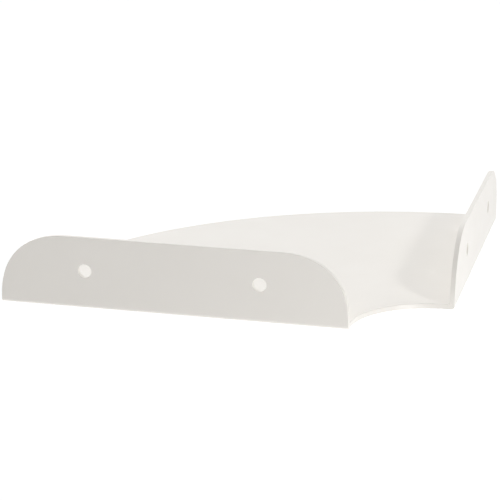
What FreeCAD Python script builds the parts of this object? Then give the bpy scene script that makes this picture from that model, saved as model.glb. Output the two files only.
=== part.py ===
import FreeCAD, Part
import enum
import os

import Sketcher

# A corner wall shelf: one thin sheet, cut to outline, pierced for its wall screws and folded up along both
# wall sides. It is built as three solids, the plate and two flanges, which meet face to face at the line
# where each fold runs out into the flat plate.
#
# Frame: +Z is up, +Y points at the back wall and -X at the left wall. The origin is the centre of the square
# that the shelf fills in plan, at the underside of the plate. The room's corner is half the reach away from
# it along both walls. All sizes are in millimetres.

SIZES = {
    "reach": (200, "room corner to the outer end of a flange"),
    "inset": (40.5, "room corner to the inner end of a flange"),
    "upstand": (32.75, "underside of the plate to the top edge of a flange"),
    "thickness": (2.25, "sheet"),
    "fold_inside": (0.5, "inside radius of a fold"),
    "fold_outside": (1.5, "outside radius of a fold, which is pressed sharper than the sheet bends freely"),
    "corner_run": (31, "length of top edge that a rounded flange corner takes"),
    "corner_fullness": (0.9, "conic weight of that corner: 0.707 is an elliptic arc and more is squarer"),
    "front_straight": (7.25, "straight end of the front edge beside each fold, before its arc starts"),
    "hole_bore": (6.2, "diameter of a screw hole"),
    "hole_pitch": (80, "between the two screw holes of a flange"),
    "hole_rise": (17.25, "underside of the plate to the middle of a screw hole"),
    "edge_round": (0.2, "radius of the rounding on every cut edge"),
}
# From a wall, or from the underside, to the line where a fold runs out into the flat sheet.
FOLD_END = "(Sizes.fold_inside + Sizes.thickness)"
FLANGE_LENGTH = "(Sizes.reach - Sizes.inset)"

TOUCHING = 0.001
SMOOTH_ANGLE = 0.1
QUARTER_TURN = 90


class Spot(enum.IntEnum):
    """The points of a sketch element that a constraint can name, by the sketcher's own numbers."""

    START = 1
    END = 2
    MIDDLE = 3


START, END, MIDDLE = Spot

# A sketch's own axes, and its origin, which starts the first of them.
ACROSS, UPWARDS = -1, -2
ORIGIN = (ACROSS, START)


def make_sheet(doc):
    """The driving sizes, each in a cell whose alias the sketches use."""
    sheet = doc.addObject("Spreadsheet::Sheet", "Sizes")
    for row, (alias, (value, meaning)) in enumerate(SIZES.items(), start=1):
        sheet.set(f"A{row}", meaning)
        sheet.set(f"B{row}", str(value))
        sheet.setAlias(f"B{row}", alias)
    doc.recompute()
    return sheet


def point(across, upwards):
    """A point in a sketch's own plane."""
    return FreeCAD.Vector(across, upwards, 0)


def new_body(doc, label, base, turn):
    """An empty body, placed in the shelf's frame by three expressions and a turn about Z."""
    body = doc.addObject("PartDesign::Body", label)
    body.Label = label
    body.Placement = FreeCAD.Placement(FreeCAD.Vector(), FreeCAD.Rotation(FreeCAD.Vector(0, 0, 1), turn))
    for axis, expression in zip("xyz", base):
        body.setExpression(f"Placement.Base.{axis}", expression)
    return body


def new_sketch(body, name, plane):
    """A sketch on one of its body's own origin planes."""
    sketch = body.newObject("Sketcher::SketchObject", name)
    support = next(feature for feature in body.Origin.OriginFeatures if feature.Role == plane)
    sketch.AttachmentSupport = [(support, "")]
    sketch.MapMode = "FlatFace"
    return sketch


def drive(sketch, name, expression, kind, *where):
    """Adds a constraint whose value follows the sheet."""
    start_value = sketch.evalExpression(expression)
    index = sketch.addConstraint(Sketcher.Constraint(kind, *where, start_value))
    sketch.renameConstraint(index, name)
    sketch.setExpression(f"Constraints.{name}", expression)


def tie(sketch, kind, *where):
    """Adds a constraint that has no value of its own."""
    sketch.addConstraint(Sketcher.Constraint(kind, *where))


def add_arc(sketch, centre, radius, first, last):
    """A circle arc, anticlockwise from first to last. Returns its number in the sketch."""
    circle = Part.Circle(centre, FreeCAD.Vector(0, 0, 1), radius)
    return sketch.addGeometry(Part.ArcOfCircle(circle, circle.parameter(first), circle.parameter(last)))


def add_corner(sketch, name, first, corner, last):
    """A conic from first to last that leaves both ends along the lines to corner. Returns the numbers of the
    curve and of the pole at its corner."""
    poles = [first, corner, last]
    degree = len(poles) - 1
    clamped = [len(poles), len(poles)]
    weights = [1, SIZES["corner_fullness"][0], 1]
    curve = Part.BSplineCurve(poles, clamped, [0, 1], False, degree, weights, False)
    number = sketch.addGeometry(curve)
    sketch.exposeInternalGeometry(number)
    first_pole = number + 1
    corner_pole = first_pole + 1
    drive(sketch, name, "Sizes.corner_fullness", "Weight", corner_pole)
    return number, corner_pole


def pad(body, name, sketch, length, side):
    """Thickens a sketch by a length that follows the sheet."""
    feature = body.newObject("PartDesign::Pad", name)
    feature.Profile = sketch
    feature.SideType = side
    feature.setExpression("Length", length)
    sketch.Visibility = False
    return feature


def lies_in(edge, plane):
    """Whether an edge lies in a plane, given as a point and a normal."""
    base, normal = plane
    return all(abs((vertex.Point - base).dot(normal)) < TOUCHING for vertex in edge.Vertexes)


def is_smooth(shape, edge):
    """Whether the faces at an edge meet without a corner. A round hole's seam line has only one face."""
    middle = edge.valueAt((edge.FirstParameter + edge.LastParameter) / 2)
    normals = []
    for face in shape.ancestorsOfType(edge, Part.Face):
        normals.append(face.normalAt(*face.Surface.parameter(middle)))
    return normals[0].getAngle(normals[-1]) < SMOOTH_ANGLE


def round_cut_edges(body, seams):
    """Rounds every sharp edge of the body's last feature, but leaves the seams, where the sheet runs on."""
    body.Document.recompute()
    base = body.Tip
    names = []
    for number, edge in enumerate(base.Shape.Edges, start=1):
        on_seam = any(lies_in(edge, plane) for plane in seams)
        if not on_seam and not is_smooth(base.Shape, edge):
            names.append(f"Edge{number}")
    rounding = body.newObject("PartDesign::Fillet", f"{body.Label}_edges")
    rounding.Base = (base, names)
    rounding.setExpression("Radius", "Sizes.edge_round")


def make_plate(doc, sheet):
    """The flat quarter-round plate, drawn from the room's corner with the walls along its two axes."""
    reach = sheet.reach
    inset = sheet.inset
    fold = sheet.fold_inside + sheet.thickness
    arc_start = fold + sheet.front_straight
    body = new_body(doc, "shelf_plate", ["-Sizes.reach / 2", "Sizes.reach / 2", "0"], -QUARTER_TURN)
    sketch = new_sketch(body, "plate_outline", "XY_Plane")

    far_right, far_left = point(reach, fold), point(fold, reach)
    near_right, near_left = point(inset, fold), point(fold, inset)
    arc_right, arc_left = point(reach, arc_start), point(arc_start, reach)
    right_end = sketch.addGeometry(Part.LineSegment(far_right, arc_right))
    front = add_arc(sketch, point(arc_start, arc_start), reach - arc_start, arc_right, arc_left)
    left_end = sketch.addGeometry(Part.LineSegment(arc_left, far_left))
    left_fold = sketch.addGeometry(Part.LineSegment(far_left, near_left))
    cutout = add_arc(sketch, point(fold, fold), inset - fold, near_right, near_left)
    right_fold = sketch.addGeometry(Part.LineSegment(near_right, far_right))

    tie(sketch, "Tangent", right_end, END, front, START)
    tie(sketch, "Tangent", front, END, left_end, START)
    tie(sketch, "Coincident", left_end, END, left_fold, START)
    tie(sketch, "Coincident", left_fold, END, cutout, END)
    tie(sketch, "Coincident", cutout, START, right_fold, START)
    tie(sketch, "Coincident", right_fold, END, right_end, START)
    tie(sketch, "Vertical", right_end)
    tie(sketch, "Horizontal", left_end)
    tie(sketch, "Vertical", left_fold)
    tie(sketch, "Horizontal", right_fold)
    tie(sketch, "PointOnObject", cutout, MIDDLE, left_fold)
    drive(sketch, "left_fold_line", FOLD_END, "DistanceX", *ORIGIN, left_fold, START)
    drive(sketch, "right_fold_line", FOLD_END, "DistanceY", *ORIGIN, right_fold, START)
    drive(sketch, "left_reach", "Sizes.reach", "DistanceY", *ORIGIN, left_fold, START)
    drive(sketch, "right_reach", "Sizes.reach", "DistanceX", *ORIGIN, right_fold, END)
    drive(sketch, "left_inset", "Sizes.inset", "DistanceY", *ORIGIN, left_fold, END)
    drive(sketch, "right_inset", "Sizes.inset", "DistanceX", *ORIGIN, right_fold, START)
    drive(sketch, "front_straight", "Sizes.front_straight", "DistanceY", right_end, START, right_end, END)

    pad(body, "plate_sheet", sketch, "Sizes.thickness", "One side")
    left_seam = (far_left, FreeCAD.Vector(1, 0, 0))
    right_seam = (far_right, FreeCAD.Vector(0, 1, 0))
    round_cut_edges(body, [left_seam, right_seam])
    return body


def draw_upright(body, sheet):
    """The flat part of a flange, above its fold: long straight top, rounded ends and two screw holes."""
    half = (sheet.reach - sheet.inset) / 2
    fold = sheet.fold_inside + sheet.thickness
    top = sheet.upstand
    half_top = half - sheet.corner_run
    half_pitch = sheet.hole_pitch / 2
    sketch = new_sketch(body, f"{body.Label}_outline", "XZ_Plane")

    base = sketch.addGeometry(Part.LineSegment(point(-half, fold), point(half, fold)))
    crest = sketch.addGeometry(Part.LineSegment(point(half_top, top), point(-half_top, top)))
    right = [point(half, fold), point(half, top), point(half_top, top)]
    left = [point(-half_top, top), point(-half, top), point(-half, fold)]
    rise, rise_pole = add_corner(sketch, "rise", *right)
    fall, fall_pole = add_corner(sketch, "fall", *left)
    holes = []
    for across in (-half_pitch, half_pitch):
        centre = point(across, sheet.hole_rise)
        hole = Part.Circle(centre, FreeCAD.Vector(0, 0, 1), sheet.hole_bore / 2)
        holes.append(sketch.addGeometry(hole))

    tie(sketch, "Coincident", base, END, rise, START)
    tie(sketch, "Coincident", rise, END, crest, START)
    tie(sketch, "Coincident", crest, END, fall, START)
    tie(sketch, "Coincident", fall, END, base, START)
    tie(sketch, "Vertical", rise_pole, MIDDLE, rise, START)
    tie(sketch, "Horizontal", rise_pole, MIDDLE, rise, END)
    tie(sketch, "Vertical", fall_pole, MIDDLE, fall, END)
    tie(sketch, "Horizontal", fall_pole, MIDDLE, fall, START)
    tie(sketch, "Symmetric", base, START, base, END, UPWARDS)
    tie(sketch, "Symmetric", crest, START, crest, END, UPWARDS)
    tie(sketch, "Symmetric", holes[0], MIDDLE, holes[1], MIDDLE, UPWARDS)
    tie(sketch, "Equal", holes[0], holes[1])
    drive(sketch, "length", FLANGE_LENGTH, "DistanceX", base, START, base, END)
    drive(sketch, "fold_line", FOLD_END, "DistanceY", *ORIGIN, base, START)
    drive(sketch, "upstand", "Sizes.upstand", "DistanceY", *ORIGIN, crest, START)
    drive(sketch, "corner_run", "Sizes.corner_run", "DistanceX", crest, START, base, END)
    drive(sketch, "hole_bore", "Sizes.hole_bore", "Diameter", holes[0])
    drive(sketch, "hole_pitch", "Sizes.hole_pitch", "DistanceX", holes[0], MIDDLE, holes[1], MIDDLE)
    drive(sketch, "hole_rise", "Sizes.hole_rise", "DistanceY", *ORIGIN, holes[0], MIDDLE)
    return sketch


def draw_fold(body, sheet):
    """The section of a fold: its heel is rounded between the wall side and the underside, and its throat
    between the upright and the plate's top."""
    inside = sheet.fold_inside
    outside = sheet.fold_outside
    thickness = sheet.thickness
    fold = inside + thickness
    sketch = new_sketch(body, f"{body.Label}_fold", "YZ_Plane")

    heel = add_arc(sketch, point(-outside, outside), outside, point(-outside, 0), point(0, outside))
    back = sketch.addGeometry(Part.LineSegment(point(0, outside), point(0, fold)))
    root = sketch.addGeometry(Part.LineSegment(point(0, fold), point(-thickness, fold)))
    throat = add_arc(sketch, point(-fold, fold), inside, point(-fold, thickness), point(-thickness, fold))
    seam = sketch.addGeometry(Part.LineSegment(point(-fold, thickness), point(-fold, 0)))
    under = sketch.addGeometry(Part.LineSegment(point(-fold, 0), point(-outside, 0)))

    tie(sketch, "Tangent", heel, END, back, START)
    tie(sketch, "Coincident", back, END, root, START)
    tie(sketch, "Coincident", root, END, throat, END)
    tie(sketch, "Coincident", throat, START, seam, START)
    tie(sketch, "Coincident", seam, END, under, START)
    tie(sketch, "Tangent", under, END, heel, START)
    tie(sketch, "PointOnObject", back, START, UPWARDS)
    tie(sketch, "PointOnObject", under, END, ACROSS)
    tie(sketch, "Vertical", back)
    tie(sketch, "Horizontal", under)
    tie(sketch, "Vertical", seam)
    tie(sketch, "Horizontal", root)
    tie(sketch, "Vertical", throat, MIDDLE, throat, START)
    tie(sketch, "Horizontal", throat, MIDDLE, throat, END)
    drive(sketch, "outside_radius", "Sizes.fold_outside", "Radius", heel)
    drive(sketch, "inside_radius", "Sizes.fold_inside", "Radius", throat)
    drive(sketch, "fold_line", FOLD_END, "DistanceY", *ORIGIN, root, START)
    drive(sketch, "seam_line", FOLD_END, "DistanceX", seam, END, *ORIGIN)
    return sketch


def make_flange(doc, sheet, label, base, turn):
    """A flange with its fold. In its own frame the wall is the plane Y = 0 and its middle is at X = 0."""
    body = new_body(doc, label, base, turn)
    upright = draw_upright(body, sheet)
    pad(body, f"{label}_upright", upright, "Sizes.thickness", "One side")
    fold = draw_fold(body, sheet)
    pad(body, f"{label}_bend", fold, FLANGE_LENGTH, "Symmetric")
    seam = (FreeCAD.Vector(0, -sheet.fold_inside - sheet.thickness, 0), FreeCAD.Vector(0, 1, 0))
    round_cut_edges(body, [seam])
    return body


def check(doc, bodies):
    """Stops before anything is written if a feature failed or a piece isn't one sound solid."""
    for thing in doc.Objects:
        if {"Invalid", "Error"} & set(thing.State):
            raise RuntimeError(f"{thing.Label} failed: {thing.State}")
    for body in bodies:
        shape = body.Shape
        if shape.isNull() or not shape.isValid() or len(shape.Solids) != 1:
            raise RuntimeError(f"{body.Label} isn't one valid solid")


def main():
    doc = FreeCAD.newDocument("corner_wall_shelf")
    sheet = make_sheet(doc)
    # The middle of a flange is (reach + inset) / 2 from the room's corner, and the origin is reach / 2.
    back_base = ["Sizes.inset / 2", "Sizes.reach / 2", "0"]
    left_base = ["-Sizes.reach / 2", "-Sizes.inset / 2", "0"]
    bodies = [
        make_plate(doc, sheet),
        make_flange(doc, sheet, "back_wall_flange", back_base, 0),
        make_flange(doc, sheet, "left_wall_flange", left_base, QUARTER_TURN),
    ]
    doc.recompute()
    check(doc, bodies)

    os.makedirs("parts", exist_ok=True)
    for body in bodies:
        body.Shape.exportStep(f"parts/{body.Label}.step")


main()
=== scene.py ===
import math

import bpy
from mathutils import Matrix, Vector

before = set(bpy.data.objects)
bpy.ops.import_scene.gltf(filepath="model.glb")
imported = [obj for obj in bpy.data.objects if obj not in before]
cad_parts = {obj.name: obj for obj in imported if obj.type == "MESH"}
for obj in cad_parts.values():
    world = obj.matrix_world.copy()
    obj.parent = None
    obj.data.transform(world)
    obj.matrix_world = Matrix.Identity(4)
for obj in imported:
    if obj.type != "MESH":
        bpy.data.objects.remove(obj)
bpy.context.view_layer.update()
scene = bpy.context.scene

# ---------------------------------------------------------------- camera
# The view is from behind the shelf, through the back wall's plane, 16 degrees down. Angles are in radians.
CAMERA_AT = Vector((-0.199257, 0.848281, 0.254783))
HEADING = 2.9007      # in plan, from +Y towards +X
PITCH = 0.2805        # below the horizon
ROLL = 0.0063
LENS = 133.27         # millimetres, as is the sensor
SENSOR_WIDTH = 36


def camera_matrix(at, heading, pitch, roll):
    """A camera's matrix from where it stands and how it is turned."""
    forward = Vector((
        math.sin(heading) * math.cos(pitch),
        math.cos(heading) * math.cos(pitch),
        -math.sin(pitch),
    ))
    level = Vector((math.cos(heading), -math.sin(heading), 0))
    upright = level.cross(forward)
    right = math.cos(roll) * level + math.sin(roll) * upright
    up = math.cos(roll) * upright - math.sin(roll) * level
    matrix = Matrix((right, up, -forward)).transposed().to_4x4()
    matrix.translation = at
    return matrix


camera = bpy.data.cameras.new("camera")
camera.sensor_width = SENSOR_WIDTH
camera.lens = LENS
camera_object = bpy.data.objects.new("camera", camera)
camera_object.matrix_world = camera_matrix(CAMERA_AT, HEADING, PITCH, ROLL)
scene.collection.objects.link(camera_object)
scene.camera = camera_object
scene.view_settings.view_transform = "Standard"
scene.view_settings.look = "None"


# ---------------------------------------------------------------- materials
COAT_TONES = [(0.820, 0.790, 0.742), (0.832, 0.803, 0.757)]      # the darkest and the lightest
COAT_ROUGHNESS = (0.30, 0.38)                                    # the glossiest and the dullest
NOISE_MIDDLE = (0.3, 0.7)                                        # what most of a noise's values lie between


def node(tree, kind, at=(0, 0), **values):
    """Adds a shader node and sets its inputs by name."""
    made = tree.nodes.new(kind)
    made.location = at
    for name, value in values.items():
        made.inputs[name.replace("_", " ")].default_value = value
    return made


def set_ramp(ramp, *ends):
    """Gives a colour ramp its two ends, each a position and a colour."""
    for element, (position, colour) in zip(ramp.color_ramp.elements, ends):
        element.position = position
        element.color = (*colour, 1)


def powder_coat():
    """Satin off-white powder coat: orange peel, and slight changes of tone and gloss."""
    material = bpy.data.materials.new("powder_coat")
    material.use_nodes = True
    tree = material.node_tree
    tree.nodes.clear()
    out = node(tree, "ShaderNodeOutputMaterial", (600, 0))
    shader = node(tree, "ShaderNodeBsdfPrincipled", (300, 0), IOR=1.5)
    place = node(tree, "ShaderNodeTexCoord", (-900, 0))
    tree.links.new(shader.outputs["BSDF"], out.inputs["Surface"])

    tone_noise = node(tree, "ShaderNodeTexNoise", (-600, 300), Scale=18, Detail=3, Roughness=0.5)
    tone = node(tree, "ShaderNodeValToRGB", (-300, 300))
    set_ramp(tone, *zip(NOISE_MIDDLE, COAT_TONES))
    tree.links.new(place.outputs["Object"], tone_noise.inputs["Vector"])
    tree.links.new(tone_noise.outputs["Fac"], tone.inputs["Fac"])
    tree.links.new(tone.outputs["Color"], shader.inputs["Base Color"])

    gloss_noise = node(tree, "ShaderNodeTexNoise", (-600, 0), Scale=60, Detail=4, Roughness=0.6)
    low, high = NOISE_MIDDLE
    glossiest, dullest = COAT_ROUGHNESS
    gloss = node(
        tree, "ShaderNodeMapRange", (-300, 0),
        From_Min=low, From_Max=high, To_Min=glossiest, To_Max=dullest,
    )
    tree.links.new(place.outputs["Object"], gloss_noise.inputs["Vector"])
    tree.links.new(gloss_noise.outputs["Fac"], gloss.inputs["Value"])
    tree.links.new(gloss.outputs["Result"], shader.inputs["Roughness"])

    peel = node(tree, "ShaderNodeTexNoise", (-600, -300), Scale=900, Detail=2, Roughness=0.4)
    bump = node(tree, "ShaderNodeBump", (-300, -300), Strength=0.035, Distance=0.0002)
    tree.links.new(place.outputs["Object"], peel.inputs["Vector"])
    tree.links.new(peel.outputs["Fac"], bump.inputs["Height"])
    tree.links.new(bump.outputs["Normal"], shader.inputs["Normal"])
    return material


coat = powder_coat()
for cad_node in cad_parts.values():
    cad_node.data.materials.clear()
    cad_node.data.materials.append(coat)


# ---------------------------------------------------------------- floor
FLOOR_DROP = 0.25     # below the shelf
FLOOR_HALF = 50.0     # half its width
FLOOR_TONES = [(0.88, 0.88, 0.88), (0.90, 0.90, 0.90)]
FLOOR_GLOW = 0.288


def floor_finish():
    """Matt white with a faint grain, lit from below as a light table is."""
    material = bpy.data.materials.new("floor_finish")
    material.use_nodes = True
    tree = material.node_tree
    tree.nodes.clear()
    out = node(tree, "ShaderNodeOutputMaterial", (600, 0))
    shader = node(tree, "ShaderNodeBsdfPrincipled", (300, 0), Roughness=0.9)
    shader.inputs["Emission Color"].default_value = (1, 1, 1, 1)
    shader.inputs["Emission Strength"].default_value = FLOOR_GLOW
    place = node(tree, "ShaderNodeTexCoord", (-900, 0))
    grain = node(tree, "ShaderNodeTexNoise", (-600, 0), Scale=4, Detail=4)
    ramp = node(tree, "ShaderNodeValToRGB", (-300, 0))
    set_ramp(ramp, *zip((0, 1), FLOOR_TONES))
    tree.links.new(place.outputs["Object"], grain.inputs["Vector"])
    tree.links.new(grain.outputs["Fac"], ramp.inputs["Fac"])
    tree.links.new(ramp.outputs["Color"], shader.inputs["Base Color"])
    tree.links.new(shader.outputs["BSDF"], out.inputs["Surface"])
    return material


def make_floor():
    """A wide level floor below the shelf."""
    mesh = bpy.data.meshes.new("floor")
    half = FLOOR_HALF
    corners = [(-half, -half, 0), (half, -half, 0), (half, half, 0), (-half, half, 0)]
    mesh.from_pydata(corners, [], [(0, 1, 2, 3)])
    floor = bpy.data.objects.new("floor", mesh)
    floor.location.z = -FLOOR_DROP
    scene.collection.objects.link(floor)
    mesh.materials.append(floor_finish())


make_floor()


# ---------------------------------------------------------------- light
# The surround is a sum of soft glows. Each row is a glow's direction, the power of the cosine to it, the
# least that the cosine counts as, and its brightness.
SURROUND = [
    ((0.35, -0.35, 0.87), 2, 0.3, 0.63),
    ((0.8, -0.3, 0.52), 3, 0.0, 1.16),
    ((-1, 0, 0), 1, 0.0, 0.28),
    ((0, -1, 0), 1, 0.0, 0.88),
]
# Each row is a round soft box: its name, its place, the point it is aimed at, its watts and its width.
LAMPS = [
    ("key", (-1.452, 0.689, 1.318), (-0.07, 0.05, 0.01), 8.3, 0.27),
    ("low_fill", (-0.30, 0.28, -0.08), (-0.02, 0.10, 0.01), 0.29, 0.12),
]


def make_world():
    """A soft surround: bright overhead and on the -Y side, and dim on the +Y side."""
    world = bpy.data.worlds.new("studio")
    scene.world = world
    world.use_nodes = True
    tree = world.node_tree
    tree.nodes.clear()
    out = node(tree, "ShaderNodeOutputWorld", (600, 0))
    light = node(tree, "ShaderNodeBackground", (300, 0), Color=(1, 1, 1, 1))
    way = node(tree, "ShaderNodeTexCoord", (-900, 0))
    total = None
    for row, (direction, power, least, brightness) in enumerate(SURROUND):
        height = -200 * row
        facing = tree.nodes.new("ShaderNodeVectorMath")
        facing.operation = "DOT_PRODUCT"
        facing.location = (-700, height)
        facing.inputs[1].default_value = direction
        steps = [("MAXIMUM", least), ("POWER", power), ("MULTIPLY", brightness)]
        tree.links.new(way.outputs["Generated"], facing.inputs[0])
        last = facing.outputs["Value"]
        for column, (operation, value) in enumerate(steps):
            step = tree.nodes.new("ShaderNodeMath")
            step.operation = operation
            step.location = (-500 + 180 * column, height)
            step.inputs[1].default_value = value
            tree.links.new(last, step.inputs[0])
            last = step.outputs[0]
        if total is not None:
            add = tree.nodes.new("ShaderNodeMath")
            add.location = (60, height)
            tree.links.new(total, add.inputs[0])
            tree.links.new(last, add.inputs[1])
            last = add.outputs[0]
        total = last
    tree.links.new(total, light.inputs["Strength"])
    tree.links.new(light.outputs["Background"], out.inputs["Surface"])


def add_lamp(name, at, to, watts, width):
    """A round soft box that shines from one point to another and isn't seen itself."""
    light = bpy.data.lights.new(name, "AREA")
    light.shape = "DISK"
    light.size = width
    light.energy = watts
    lamp = bpy.data.objects.new(name, light)
    lamp.location = at
    lamp.rotation_mode = "QUATERNION"
    lamp.rotation_quaternion = (Vector(to) - Vector(at)).to_track_quat("-Z", "Y")
    lamp.visible_camera = False
    scene.collection.objects.link(lamp)


make_world()
for lamp_row in LAMPS:
    add_lamp(*lamp_row)
